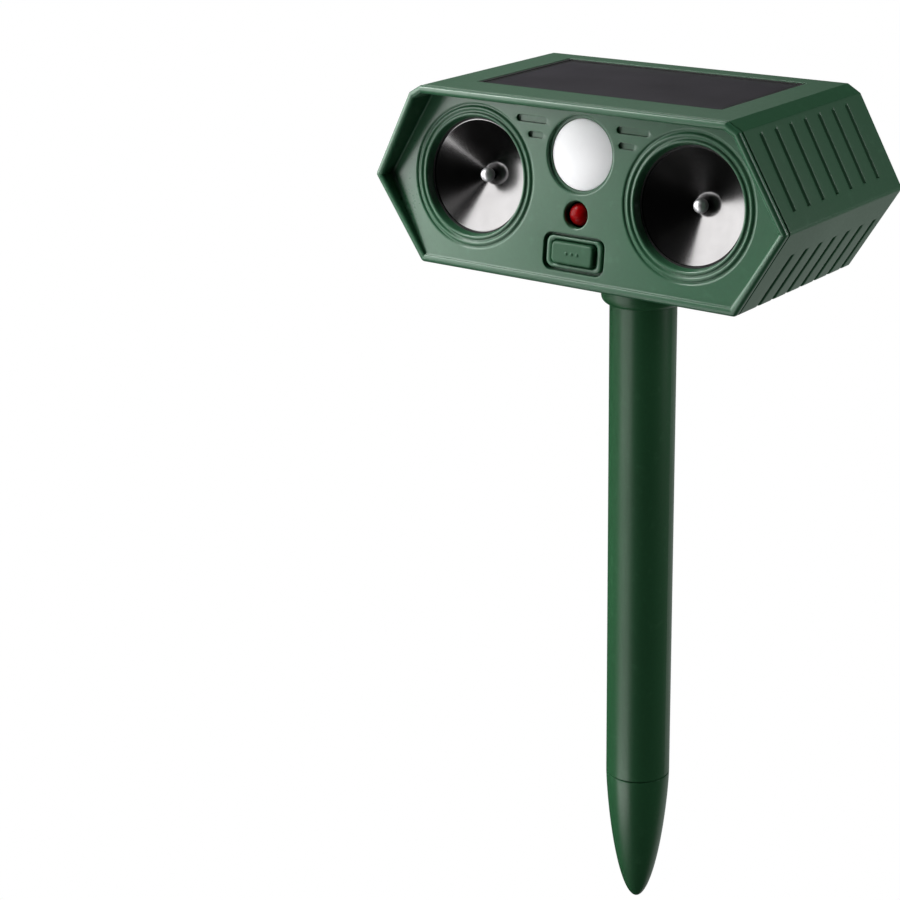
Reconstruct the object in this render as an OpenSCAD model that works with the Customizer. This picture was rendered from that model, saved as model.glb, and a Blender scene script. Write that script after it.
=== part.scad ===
// Solar-charged ultrasonic pest repeller on a ground stake.
// Frame: +Z up along the stake, the two horns face -Y, +X is the right-hand
// side seen from the front. The origin is on the stake's axis at the seam
// between the tube and its tip. Units are millimetres.

/* [Head] */
// Width of the hexagonal head over its side ridges
head_w = 150; // [140:1:165]
// Width of the head's flat top and bottom
head_flat_w = 116; // [108:1:122]
// Height of the head above its side ridges
head_up = 30.5; // [29:0.5:36]
// Height of the head below its side ridges
head_down = 27; // [26:0.5:32]
// Distance from the stake's axis to the bezel at ridge height
front_reach = 43.5; // [42:0.5:50]
// Distance from the stake's axis to the back of the head
back_reach = 29.5; // [28:0.5:36]
// Forward lean of the bezel, in degrees
bezel_lean = 3; // [0:0.5:4]
// Backward lean of the face, in degrees
face_lean = 6.5; // [5:0.5:8]
// Depth of the face behind the bezel at ridge height
face_recess = 5.2; // [4.6:0.2:7]

/* [Horns and sensor] */
// Distance of each horn's axis from the middle of the face
horn_x = 39.2; // [38:0.2:42]
// Height of the horns' axes on the face
horn_v = 2.5; // [0:0.5:4]
// Radius of a horn's mouth at the face
mouth_r = 19.3; // [18:0.1:19.6]
// Radius of the sensor lens
lens_r = 10.8; // [10:0.1:11]
// Height of the sensor lens on the face
lens_v = 13.5; // [13:0.5:14]

/* [Button] */
// Width of the push button
key_w = 15.4; // [13:0.2:17]
// Height of the push button
key_h = 6.8; // [5:0.2:7.2]
// Travel of the push button
key_travel = 0.8; // [0.4:0.1:0.9]

/* [Stake] */
// Outside diameter of the stake's tube
tube_d = 22; // [20:0.5:22]
// Height of the side ridges above the stake's seam
ridge_z = 210; // [160:5:260]
// Length of the tip below the seam
tip_l = 51; // [40:1:70]
// Length of tube inside the head's socket
plug_in = 29; // [24:1:30]

/* [Hidden] */
$fn = 64;

wall = 2.2;            // housing wall
front_wall = 1.2;      // housing wall where the cover's rim slides in
rim_in = 2.5;          // inside of the cover's rim, from the head's outline
lip = 2;               // thickness of the cover's lip
seam_gap = 0.6;        // open groove between lip and housing
top_chamfer = 2.9;     // flats along the head's top corners, measured along each side
low_chamfer = 1.2;     // the same along its bottom corners
face_t = 2.5;          // thickness of the face plate
seat_y = -32.5;        // back end of the cover's rim
seal_t = 0.9;
hair = 0.1;            // gap between pieces that only meet

face_y = face_recess - front_reach;
inner_bottom = -(head_down - wall);

// Grooves on the side walls
rib_n = 7;
rib_pitch = 8.6;
upper_rib_y = 9.5 - front_reach;
lower_rib_y = 15.2 - front_reach;

// Solar panel
panel_w = 86.6;
panel_d = 49;
panel_t = 2;
panel_y = -3.5;
panel_sink = 0.6;
pocket_gap = 1.1;
pocket_depth = panel_sink + panel_t + 0.2;
pad_border = 4;
pad_t = 4.6;

// Screws that hold the two halves of the head together
screw_up = [55, 21.5];
screw_down = [56, -16.5];
screw_head_r = 3;
screw_r = 1.45;
pilot_r = 1.5;
counterbore_r = 3.4;
screw_boss_r = 4.6;
screw_seat_y = -12;
web_t = 2.5;
screw_l = 15;

// Stake and socket
tube_r = tube_d / 2;
tube_wall = 1.8;
plug_step = 0.8;       // how much slimmer the tube is inside the socket
plug_r = tube_r - plug_step;
socket_r = 13.7;
socket_wall_top = 2;
socket_bottom = ridge_z - 41;
housing_bottom = ridge_z - head_down;
tube_top = socket_bottom + plug_in;
socket_top = tube_top + socket_wall_top;
running = 0.05;
neck_r = 12.3;
neck_hole_r = neck_r + running;
bearing_h = 7;
washer_t = 0.9;
clip_t = 1.2;

// Horns
throat_d = 13;
cone_d = 9.4;          // depth where the cone meets its throat
horn_rim_r = 17.4;
horn_flange_r = 20;
horn_d = face_t + 0.5;
ball_r = 2.3;
ball_d = 7.4;
clamp_r = 21.2;
clamp_screw_r = 21.9;

// Electronics on the back of the face
board_d = 13;
board_t = 1.6;
board_w = 42;
board_low = -19;
board_high = 25;
post_x = 18;
post_low = -16;
post_high = 21.5;
led_v = -4.7;
lamp_r = 3.5;
lamp_d = 2.2;
lamp_rise = 2.6;
lamp_ball = (lamp_r * lamp_r + lamp_rise * lamp_rise) / (2 * lamp_rise);
key_v = -16.8;
key_out = 1;
frame_gap = 0.2;

// Battery and charging port
cell_r = 9.2;
cell_l = 65;
cell_y = 8;
cell_z = 6;
port_x = 30;
port_z = -13;

// ---------- frames ----------

// Children are drawn in the face's own axes: X across, Y into the head, Z up.
module on_face(x = 0, v = 0, d = 0) {
    translate([0, face_y, ridge_z]) rotate([-face_lean, 0, 0]) translate([x, d, v]) children();
}

// The same for the bezel's leaning plane.
module on_bezel() {
    translate([0, -front_reach, ridge_z]) rotate([bezel_lean, 0, 0]) children();
}

// Turns a solid of revolution about Z so that its axis points into the head.
module inward() {
    rotate([-90, 0, 0]) children();
}

module both_sides() {
    children();
    mirror([1, 0, 0]) children();
}

// Everything in front of a plane of the current frame, or behind it.
module in_front(d) {
    translate([-120, d - 100, -80]) cube([240, 100, 160]);
}

module behind(d) {
    translate([-120, d, -80]) cube([240, 100, 160]);
}

// ---------- outline of the head ----------

half_w = head_w / 2;
flat = head_flat_w / 2;
up_len = norm([half_w - flat, head_up]);
down_len = norm([half_w - flat, head_down]);
up_normal = [head_up, half_w - flat] / up_len;
down_normal = [head_down, -(half_w - flat)] / down_len;
up_angle = atan2(half_w - flat, head_up);
down_angle = atan2(half_w - flat, head_down);

// x on a slanted side, pushed in by t, at height z
function side_x(n, t, z) = (n[0] * half_w - t - n[1] * z) / n[0];

// height where the two slanted sides meet once both are pushed in by t
function ridge_h(t) = t * (1 / down_normal[0] - 1 / up_normal[0])
    / (down_normal[1] / down_normal[0] - up_normal[1] / up_normal[0]);

// right-hand half of the outline, pushed in by t, from bottom to top
function half_outline(t) = let (
        zb = t - head_down,
        zt = head_up - t,
        xb = side_x(down_normal, t, zb),
        xt = side_x(up_normal, t, zt),
        zr = ridge_h(t),
        cb = max(low_chamfer - 0.2 * t, 0.6),
        ct = max(top_chamfer - 0.32 * t, 0.6))
    [[xb - cb, zb],
     [xb + cb * sin(down_angle), zb + cb * cos(down_angle)],
     [side_x(up_normal, t, zr), zr],
     [xt + ct * sin(up_angle), zt - ct * cos(up_angle)],
     [xt - ct, zt]];

function outline(t) = let (h = half_outline(t))
    concat(h, [for (i = [len(h) - 1:-1:0]) [-h[i][0], h[i][1]]]);

module hex_prism(t, y0, y1) {
    translate([0, y1, ridge_z]) rotate([90, 0, 0]) linear_extrude(y1 - y0) polygon(outline(t));
}

// ---------- small helpers ----------

module rounded_rect(w, h, r) {
    square([w - 2 * r, h], center = true);
    square([w, h - 2 * r], center = true);
    for (x = [-1, 1], y = [-1, 1])
        translate([x * (w / 2 - r), y * (h / 2 - r)]) circle(r);
}

// Rounded block in the face's axes, from depth d0 to d1
module face_block(w, h, r, d0, d1) {
    translate([0, d1, 0]) rotate([90, 0, 0]) linear_extrude(d1 - d0) rounded_rect(w, h, r);
}

module disc(r, d0, d1) {
    translate([0, d0, 0]) inward() cylinder(r = r, h = d1 - d0);
}

module annulus(r0, r1, d0, d1) {
    difference() {
        disc(r1, d0, d1);
        disc(r0, d0 - 1, d1 + 1);
    }
}

// Tube of round wire swept along a list of points
function unit(v) = v / norm(v);
function tangent(p, i) = unit(p[min(i + 1, len(p) - 1)] - p[max(i - 1, 0)]);
function ring_at(p, i, r, sides) = let (
        t = tangent(p, i),
        a = unit(cross(t, abs(t[0]) > 0.9 ? [0, 1, 0] : [1, 0, 0])),
        b = cross(t, a))
    [for (k = [0:sides - 1]) p[i] + r * (cos(360 * k / sides) * a + sin(360 * k / sides) * b)];

// Point on a smooth curve through four neighbours
function curve_point(p0, p1, p2, p3, u) = 0.5 * (2 * p1 + (p2 - p0) * u
    + (2 * p0 - 5 * p1 + 4 * p2 - p3) * u * u + (3 * p1 - p0 - 3 * p2 + p3) * u * u * u);
function smooth(p, steps) = concat(
    [for (i = [0:len(p) - 2], s = [0:steps - 1])
        curve_point(p[max(i - 1, 0)], p[i], p[i + 1], p[min(i + 2, len(p) - 1)], s / steps)],
    [p[len(p) - 1]]);

module wire(points, r, sides = 8) {
    path = smooth(points, 8);
    n = len(path);
    pts = [for (i = [0:n - 1]) each ring_at(path, i, r, sides)];
    faces = concat(
        [[for (k = [0:sides - 1]) k]],
        [for (i = [0:n - 2], k = [0:sides - 1]) let (m = (k + 1) % sides)
            [i * sides + k, (i + 1) * sides + k, (i + 1) * sides + m, i * sides + m]],
        [[for (k = [sides - 1:-1:0]) (n - 1) * sides + k]]);
    polyhedron(pts, faces);
}

// ---------- stake ----------

module stake_tube() {
    color("darkgreen") difference() {
        union() {
            cylinder(r = tube_r, h = socket_bottom - hair);
            cylinder(r = plug_r, h = tube_top - hair);
        }
        translate([0, 0, -1]) cylinder(r = tube_r - tube_wall, h = socket_bottom - 1);
        translate([0, 0, -1]) cylinder(r = plug_r - tube_wall, h = tube_top - tube_wall + 1);
    }
}

// Outer radius of the tip at a fraction f of its length: an ogive
function tip_radius(f) = tube_r * sqrt(1 - pow(f, 1.45));

module stake_tip() {
    steps = 18;
    spigot_r = tube_r - tube_wall - hair;
    spigot_h = 16;
    blunt = 0.985;
    color("darkgreen") rotate_extrude() polygon(concat(
        [[0, spigot_h], [spigot_r - 1, spigot_h], [spigot_r, spigot_h - 1], [spigot_r, 0], [tube_r - 0.5, 0]],
        [for (i = [0:steps]) let (f = sin(90 * i / steps) * blunt, g = max(f, 0.01))
            [tip_radius(g), -tip_l * g]],
        [[0, -tip_l]]));
}

module stake_socket() {
    round_r = 2.5;
    color("darkgreen") difference() {
        union() {
            rotate_extrude() polygon(concat(
                [[0, socket_top], [neck_r, socket_top],
                 [neck_r, housing_bottom - washer_t], [socket_r, housing_bottom - washer_t]],
                [for (a = [0:15:90]) [socket_r - round_r + round_r * cos(a),
                    socket_bottom + round_r - round_r * sin(a)]],
                [[0, socket_bottom]]));
        }
        translate([0, 0, socket_bottom - 1]) cylinder(r = plug_r + running, h = plug_in + 1);
        // groove for the retaining clip
        translate([0, 0, housing_bottom + bearing_h + hair]) difference() {
            cylinder(r = neck_r + 1, h = clip_t + 0.2);
            translate([0, 0, -1]) cylinder(r = neck_r - 0.8, h = clip_t + 3);
        }
    }
}

module swivel_washer() {
    color("black") translate([0, 0, housing_bottom - washer_t]) difference() {
        cylinder(r = socket_r - 0.3, h = washer_t - hair);
        translate([0, 0, -1]) cylinder(r = neck_r + hair, h = washer_t + 2);
    }
}

module socket_clip() {
    color("silver") translate([0, 0, housing_bottom + bearing_h + 0.2]) difference() {
        cylinder(r = 15.2, h = clip_t);
        translate([0, 0, -1]) cylinder(r = neck_r - 0.7, h = clip_t + 2);
        translate([0, 8, clip_t / 2]) cube([7, 20, clip_t + 2], center = true);
    }
}

// ---------- shell of the head ----------

module screw_axes() {
    both_sides() {
        translate([screw_up[0], 0, ridge_z + screw_up[1]]) children();
        translate([screw_down[0], 0, ridge_z + screw_down[1]]) children();
    }
}

// Grooves cut into one slanted side; a and b are distances from the ridge
module side_grooves(angle, first_y, a, b, w, depth) {
    for (i = [0:rib_n - 1])
        translate([half_w, first_y + i * rib_pitch, ridge_z]) rotate([0, angle, 0])
            translate([-depth, -w / 2, a]) cube([2 * depth, w, b - a]);
}

module rear_housing() {
    color("seagreen") difference() {
        union() {
            difference() {
                hex_prism(0, -60, back_reach);
                on_bezel() in_front(lip + seam_gap);
                hex_prism(front_wall, -70, seat_y + seal_t);
                hex_prism(wall, -70, back_reach - wall);
            }
            // pad under the solar panel
            translate([-panel_w / 2 - pad_border, panel_y - panel_d / 2 - 3, ridge_z + head_up - pad_t])
                cube([panel_w + 2 * pad_border, panel_d + 6.5, pad_t - wall / 2]);
            // bearing for the stake's socket
            translate([0, 0, housing_bottom + 0.5]) cylinder(r = neck_hole_r + 3, h = bearing_h - 0.5);
            // screw columns
            screw_axes() translate([0, screw_seat_y - web_t, 0]) inward()
                cylinder(r = screw_boss_r, h = back_reach - screw_seat_y + web_t - 0.5);
            // pad round the charging port
            translate([port_x - 10, back_reach - 4.6, ridge_z + port_z - 7]) cube([20, 4, 14]);
            // posts under the charging board
            for (x = [-6.5, 6.5]) translate([port_x + x, back_reach - 9.5, housing_bottom + 1])
                cylinder(r = 2, h = head_down + port_z - 4.1 - 1 - hair);
        }
        // keeps the columns inside the outline
        difference() {
            translate([0, -60, ridge_z]) translate([-120, 0, -80]) cube([240, 160, 160]);
            hex_prism(0, -80, 120);
        }
        // solar pocket and its wire hole
        translate([-panel_w / 2 - pocket_gap, panel_y - panel_d / 2 - pocket_gap,
            ridge_z + head_up - pocket_depth]) cube([panel_w + 2 * pocket_gap, panel_d + 2 * pocket_gap, 10]);
        translate([-30, panel_y - 12, ridge_z]) cylinder(r = 2.2, h = 60);
        // socket
        translate([0, 0, housing_bottom - 5]) cylinder(r = neck_hole_r, h = 30);
        // screws
        screw_axes() {
            translate([0, screw_seat_y, 0]) inward() cylinder(r = counterbore_r, h = 80);
            translate([0, screw_seat_y - 10, 0]) inward() cylinder(r = screw_r + 0.25, h = 20);
        }
        // charging port
        translate([port_x, back_reach - 2, ridge_z + port_z]) face_block(14.4, 9.4, 2, 0, 10);
        translate([port_x, back_reach - 8, ridge_z + port_z]) face_block(9.4, 4.4, 1, 0, 10);
        // side grooves
        both_sides() {
            side_grooves(-up_angle, upper_rib_y, up_len * 0.16, up_len * 0.87, 1.1, 0.6);
            side_grooves(180 + down_angle, lower_rib_y, down_len * 0.38, down_len * 1.2, 2, 1.1);
        }
    }
}

module mouth_rings() {
    annulus(21.9, 22.7, -1, 0.7);
    annulus(20.2, 20.8, -1, 0.5);
}

module slot(x0, x1, v, h) {
    translate([(x0 + x1) / 2, 0, v]) face_block(x1 - x0, h, h / 2 - 0.01, -1, 0.8);
}

module front_cover() {
    color("mediumseagreen") difference() {
        union() {
            // lip
            difference() {
                hex_prism(0, -60, -20);
                on_bezel() in_front(0);
                on_bezel() behind(lip);
                hex_prism(rim_in, -70, 0);
            }
            // rim that slides into the housing
            difference() {
                hex_prism(front_wall + hair, -60, seat_y);
                on_bezel() in_front(lip / 2);
                hex_prism(rim_in, -70, 0);
            }
            // face plate
            difference() {
                hex_prism(rim_in - 0.5, -60, seat_y);
                on_face() in_front(0);
                on_face() behind(face_t);
            }
            // screw columns, kept clear of the housing's wall
            intersection() {
                screw_axes() translate([0, -38, 0]) inward()
                    cylinder(r = 3.4, h = 38 + screw_seat_y - web_t - hair);
                on_face() behind(face_t / 2);
                hex_prism(wall + 0.25, -80, 20);
            }
            // board posts
            both_sides() {
                on_face(post_x, post_low) disc(2.6, face_t - 0.5, board_d);
                on_face(post_x, post_high) disc(2.6, face_t - 0.5, board_d);
            }
            // bosses for the horn clamps
            both_sides() on_face(horn_x, horn_v) clamp_screws() disc(1.8, face_t - 0.5, horn_d + 1);
        }
        // mouths and their rings
        both_sides() on_face(horn_x, horn_v) {
            translate([0, -1, 0]) inward() cylinder(r1 = mouth_r + 0.72, r2 = horn_rim_r + 0.1, h = face_t + 1.01);
            mouth_rings();
        }
        both_sides() on_face() {
            slot(12.6, 24.1, 22.5, 1.7);
            slot(13.6, 19.4, 17.9, 1.5);
        }
        // sensor window
        on_face(0, lens_v) {
            disc(lens_r + 1.2, -1, 1.2);
            disc(lens_r + 0.2, -1, 5);
        }
        // lamp window
        on_face(0, led_v) {
            disc(4.1, -1, 5);
            translate([0, -1, 0]) inward() cylinder(r1 = 5, r2 = 4.1, h = 1.6);
        }
        // button window
        on_face(0, key_v) face_block(22.4, 11.7, 3, -1, 5);
        // pilot holes
        screw_axes() translate([0, screw_seat_y - web_t - 14, 0]) inward() cylinder(r = pilot_r, h = 20);
        both_sides() {
            on_face(post_x, post_low) disc(0.95, 6, board_d + 1);
            on_face(post_x, post_high) disc(0.95, 6, board_d + 1);
            on_face(horn_x, horn_v) clamp_screws() disc(0.75, 1.4, horn_d + 2);
        }
    }
}

module housing_seal() {
    color("black") difference() {
        hex_prism(front_wall + hair, seat_y, seat_y + seal_t - hair);
        hex_prism(rim_in - 0.3, seat_y - 1, seat_y + seal_t + 1);
    }
}

// A screw pointing along -Y: its head sits behind y = 0
module screw(head_r, head_h, r, l) {
    difference() {
        inward() cylinder(r = head_r, h = head_h);
        for (a = [0, 90]) rotate([0, a, 0]) translate([0, head_h, 0])
            cube([head_r * 1.3, head_h, head_r * 0.28], center = true);
    }
    translate([0, -l, 0]) inward() cylinder(r = r, h = l + 0.1);
}

module cover_screws() {
    color("silver") screw_axes() translate([0, screw_seat_y + hair, 0]) screw(screw_head_r, 2, screw_r - hair, screw_l);
}

// ---------- solar panel ----------

module solar_panel() {
    color("midnightblue") translate([-panel_w / 2, panel_y - panel_d / 2, ridge_z + head_up - panel_sink - panel_t])
        cube([panel_w, panel_d, panel_t]);
}

module solar_gasket() {
    color("black") translate([0, panel_y, ridge_z + head_up - pocket_depth]) linear_extrude(pocket_depth - 0.3)
        difference() {
            square([panel_w + 2 * pocket_gap - 2 * hair, panel_d + 2 * pocket_gap - 2 * hair], center = true);
            square([panel_w + hair, panel_d + hair], center = true);
        }
}

// ---------- horns ----------

module horn() {
    inward() rotate_extrude() polygon([[horn_rim_r, horn_d], [horn_flange_r, horn_d], [horn_flange_r, horn_d + 1],
        [horn_rim_r + 0.9, horn_d + 1], [2.6, cone_d + 0.9], [2.6, throat_d], [1.5, throat_d], [1.5, cone_d]]);
}

module horn_plug() {
    translate([0, ball_d, 0]) sphere(ball_r);
    disc(0.9, ball_d + ball_r - 0.3, throat_d);
}

// Places its children at a horn's three clamp screws
module clamp_screws() {
    for (a = [90, 210, 330])
        translate([clamp_screw_r * cos(a), 0, clamp_screw_r * sin(a)]) children();
}

module horn_clamp() {
    difference() {
        union() {
            annulus(18.9, clamp_r, horn_d + 1, horn_d + 2.4);
            clamp_screws() disc(1.9, horn_d + 1, horn_d + 2.4);
        }
        clamp_screws() disc(0.85, horn_d, horn_d + 4);
    }
}

module transducer() {
    disc(14, throat_d, throat_d + 6);
    disc(10, throat_d + 6, throat_d + 8.5);
    for (x = [-1, 1]) translate([x * 5 - 1.2, throat_d + 8.5, -0.3]) cube([2.4, 4, 0.6]);
}

module horn_gasket() {
    annulus(horn_rim_r + 0.3, horn_flange_r, face_t, horn_d);
}

module left_horn() { color("gainsboro") on_face(-horn_x, horn_v) horn(); }
module right_horn() { color("gainsboro") on_face(horn_x, horn_v) horn(); }
module left_horn_plug() { color("silver") on_face(-horn_x, horn_v) horn_plug(); }
module right_horn_plug() { color("silver") on_face(horn_x, horn_v) horn_plug(); }
module left_horn_gasket() { color("black") on_face(-horn_x, horn_v) horn_gasket(); }
module right_horn_gasket() { color("black") on_face(horn_x, horn_v) horn_gasket(); }
module left_horn_clamp() { color("dimgray") on_face(-horn_x, horn_v) horn_clamp(); }
module right_horn_clamp() { color("dimgray") on_face(horn_x, horn_v) horn_clamp(); }
module left_transducer() { color("dimgray") on_face(-horn_x, horn_v) transducer(); }
module right_transducer() { color("dimgray") on_face(horn_x, horn_v) transducer(); }

module horn_screws() {
    color("silver") both_sides() on_face(horn_x, horn_v) clamp_screws()
        translate([0, horn_d + 2.4, 0]) screw(1.5, 1, 0.7, 3.6);
}

// ---------- sensor, lamp and button ----------

module sensor_lens() {
    rise = 3;
    base_d = 1.5;
    ball = (lens_r * lens_r + rise * rise) / (2 * rise);
    color("white") on_face(0, lens_v) difference() {
        union() {
            intersection() {
                translate([0, base_d - rise + ball, 0]) sphere(ball, $fn = 96);
                disc(lens_r, -10, base_d + 0.3);
            }
            disc(lens_r, base_d, face_t + 0.5);
            disc(lens_r + 1.6, face_t, face_t + 0.8);
        }
        intersection() {
            translate([0, base_d - rise + ball, 0]) sphere(ball - 0.7, $fn = 96);
            disc(lens_r - 0.9, -10, base_d + 0.3);
        }
        disc(lens_r - 0.9, base_d + 0.2, 10);
    }
}

module lens_retainer() {
    color("dimgray") on_face(0, lens_v) annulus(lens_r - 0.2, lens_r + 2.2, face_t + 0.8, face_t + 2.2);
}

module motion_sensor() {
    color("silver") on_face(0, lens_v) {
        disc(4.1, board_d - 4.2, board_d - 0.5);
        disc(4.6, board_d - 0.6, board_d);
        for (a = [0, 120, 240]) translate([2 * cos(a), 0, 2 * sin(a)]) disc(0.25, board_d - 0.1, board_d + 3);
    }
}

module status_led() {
    color("red") on_face(0, led_v) {
        intersection() {
            translate([0, lamp_d - lamp_rise + lamp_ball, 0]) sphere(lamp_ball);
            disc(lamp_r, -5, lamp_d + 0.2);
        }
        disc(lamp_r, lamp_d, 7.5);
        disc(lamp_r + 0.6, 6.5, 7.5);
        for (x = [-1.27, 1.27]) translate([x, 0, 0]) disc(0.3, 7.4, board_d + 2.6);
    }
}

module button_frame() {
    color("seagreen") on_face(0, key_v) difference() {
        union() {
            face_block(20.6, 9.9, 2.3, 0.3, face_t + 0.5);
            face_block(24, 12.6, 3, face_t, face_t + 1);
        }
        face_block(key_w + 2 * frame_gap, key_h + 2 * frame_gap, 1.3, -1, 6);
    }
}

module mode_button() {
    color("seagreen") on_face(0, key_v) {
        face_block(key_w, key_h, 1.2, -key_out, face_t + 1.4);
        face_block(key_w + 2.4, key_h + 2, 1.5, face_t + 1.2, face_t + 2.2);
        disc(1.7, face_t + 2, 8.2);
        for (x = [-1, 0, 1]) translate([x * 2, 0, 0]) disc(0.45, -key_out - 0.25, -key_out + 0.1);
    }
}

plunger_end = 11.6;

// The plunger's bore is deeper than the plunger by the button's travel and a small gap
module switch_body() {
    color("black") on_face(0, key_v) difference() {
        face_block(6.2, 6.2, 0.3, 9.4, board_d);
        disc(1.8, 9, plunger_end + key_travel + 0.1);
    }
}

module switch_plunger() {
    color("dimgray") on_face(0, key_v) disc(1.72, 8.2, plunger_end);
}

// ---------- electronics ----------

// Copper leads of the parts that stand on the board pass through these holes
module lead_holes() {
    on_face(0, lens_v) for (a = [0, 120, 240]) translate([2 * cos(a), 0, 2 * sin(a)]) disc(0.35, 10, 20);
    on_face(0, led_v) for (x = [-1.27, 1.27]) translate([x, 0, 0]) disc(0.4, 10, 20);
}

module main_board() {
    color("darkgreen") difference() {
        on_face() translate([-board_w / 2, board_d, board_low]) cube([board_w, board_t, board_high - board_low]);
        lead_holes();
        both_sides() {
            on_face(post_x, post_low) disc(1.1, 10, 20);
            on_face(post_x, post_high) disc(1.1, 10, 20);
        }
    }
}

module board_screws() {
    color("silver") both_sides() for (v = [post_low, post_high])
        on_face(post_x, v, board_d + board_t) screw(2, 1.3, 0.9, 7);
}

module control_chip() {
    color("black") on_face(0, 6) {
        translate([-5, board_d + board_t, -2]) cube([10, 1.5, 4]);
        for (i = [0:6], s = [-1, 1]) translate([-4.2 + i * 1.27, board_d + board_t, s * 2.6 - 0.6])
            cube([0.5, 0.6, 1.2]);
    }
}

module driver_coils() {
    color("dimgray") for (x = [-12, 12]) on_face(x, 4) {
        disc(4, board_d + board_t, board_d + board_t + 1.2);
        disc(2.6, board_d + board_t + 1, board_d + board_t + 5);
        disc(4, board_d + board_t + 4.8, board_d + board_t + 6);
    }
}

module battery_cell() {
    color("royalblue") translate([-cell_l / 2, cell_y, ridge_z + cell_z]) rotate([0, 90, 0]) {
        cylinder(r = cell_r, h = cell_l - 1.5);
        cylinder(r = cell_r / 3, h = cell_l);
    }
}

module battery_cradle() {
    base = cell_z - cell_r;
    l = cell_l + 12;
    leg = 7;
    legs_from = inner_bottom;
    color("dimgray") difference() {
        union() {
            translate([-l / 2, cell_y - cell_r - 1.5, ridge_z + base - 1.5])
                cube([l, 2 * cell_r + 3, cell_r + 1]);
            for (s = [-1, 1]) translate([s * (l / 2 - leg / 2) - leg / 2, cell_y - 7, ridge_z + legs_from])
                cube([leg, 14, base - legs_from]);
        }
        translate([-cell_l / 2 - 3, cell_y, ridge_z + cell_z]) rotate([0, 90, 0])
            cylinder(r = cell_r + hair, h = cell_l + 6);
    }
}

module battery_clips() {
    color("silver") for (s = [-1, 1])
        translate([s * (cell_l / 2 + 1.2) - 0.4, cell_y - 6, ridge_z + cell_z - 6]) cube([0.8, 12, 17]);
}

module charge_board() {
    color("darkgreen") translate([port_x - 9, back_reach - 13.9, ridge_z + port_z - 4.1]) cube([18, 9.2, 1.6]);
}

module charge_port() {
    color("silver") translate([port_x, back_reach - 13.4, ridge_z + port_z]) difference() {
        face_block(9, 5, 0.8, 0, 5.2);
        face_block(8, 3.2, 0.6, 0.8, 6);
    }
}

module port_plug() {
    color("black") translate([port_x, back_reach, ridge_z + port_z]) {
        face_block(14, 9, 1.8, -1.9, 0);
        face_block(8.9, 3.9, 0.8, -6.5, -1.8);
        face_block(7.6, 2.8, 0.5, -10.4, -6.4);
        translate([0, 0, 2.9]) face_block(8, 1.6, 0.7, -0.1, 1.2);
    }
}

// ---------- wiring ----------

wire_r = 0.65;
face_c = cos(face_lean);
face_s = sin(face_lean);
// Point in the head from the face's own x, v and depth
function face_point(x, v, d) = [x, face_y + d * face_c + v * face_s, ridge_z + v * face_c - d * face_s];

board_back = board_d + board_t + wire_r;

module horn_leads() {
    for (i = [-1, 1]) wire([
        face_point(horn_x + i * 5, horn_v + 1.1, throat_d + 12),
        face_point(horn_x + i * 5, horn_v + 3, throat_d + 15),
        face_point(28 + i, 13 + 2 * i, throat_d + 12),
        face_point(22, 15 + 2 * i, board_back + 4),
        face_point(17, 13.5 + 2 * i, board_back + 0.4)], wire_r);
}

module left_horn_leads() { color("red") mirror([1, 0, 0]) horn_leads(); }
module right_horn_leads() { color("red") horn_leads(); }

module solar_leads() {
    color("red") for (i = [-1, 1]) wire([
        [-30 + i * 0.9, panel_y - 12, ridge_z + head_up - panel_sink - panel_t - hair],
        [-30 + i * 0.9, panel_y - 12, ridge_z + 21],
        [-20, panel_y - 14 + i * 0.9, ridge_z + 19.5],
        face_point(-9 + i * 0.9, 21, board_back + 3),
        face_point(-9 + i * 0.9, 17, board_back + 0.3)], wire_r);
}

module battery_leads() {
    color("black") for (s = [-1, 1]) wire([
        [s * (cell_l / 2 + 1.2), cell_y - 4, ridge_z + cell_z + 11.9],
        [s * 30, -6, ridge_z + 17],
        [s * 16, -14, ridge_z + 15],
        face_point(s * 5, 13, board_back + 3),
        face_point(s * 4, 11, board_back + 0.3)], wire_r);
}

stake_tube();
stake_tip();
stake_socket();
swivel_washer();
socket_clip();
rear_housing();
front_cover();
housing_seal();
cover_screws();
solar_panel();
solar_gasket();
solar_leads();
left_horn();
right_horn();
left_horn_plug();
right_horn_plug();
left_horn_gasket();
right_horn_gasket();
left_horn_clamp();
right_horn_clamp();
horn_screws();
left_transducer();
right_transducer();
left_horn_leads();
right_horn_leads();
sensor_lens();
lens_retainer();
motion_sensor();
status_led();
button_frame();
mode_button();
switch_body();
switch_plunger();
main_board();
board_screws();
control_chip();
driver_coils();
battery_cell();
battery_cradle();
battery_clips();
battery_leads();
charge_board();
charge_port();
port_plug();
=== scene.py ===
"""Looks of a solar ultrasonic pest repeller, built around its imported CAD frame.

Shapes are worked out in millimetres in the frame's own axes: +X right, -Y out of the face, +Z up,
with the origin on the stake's axis at the seam of its tip. They become metres when a mesh is made.
"""

import math

import bmesh
import bpy
import numpy as np
from mathutils import Matrix, Vector, geometry


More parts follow.
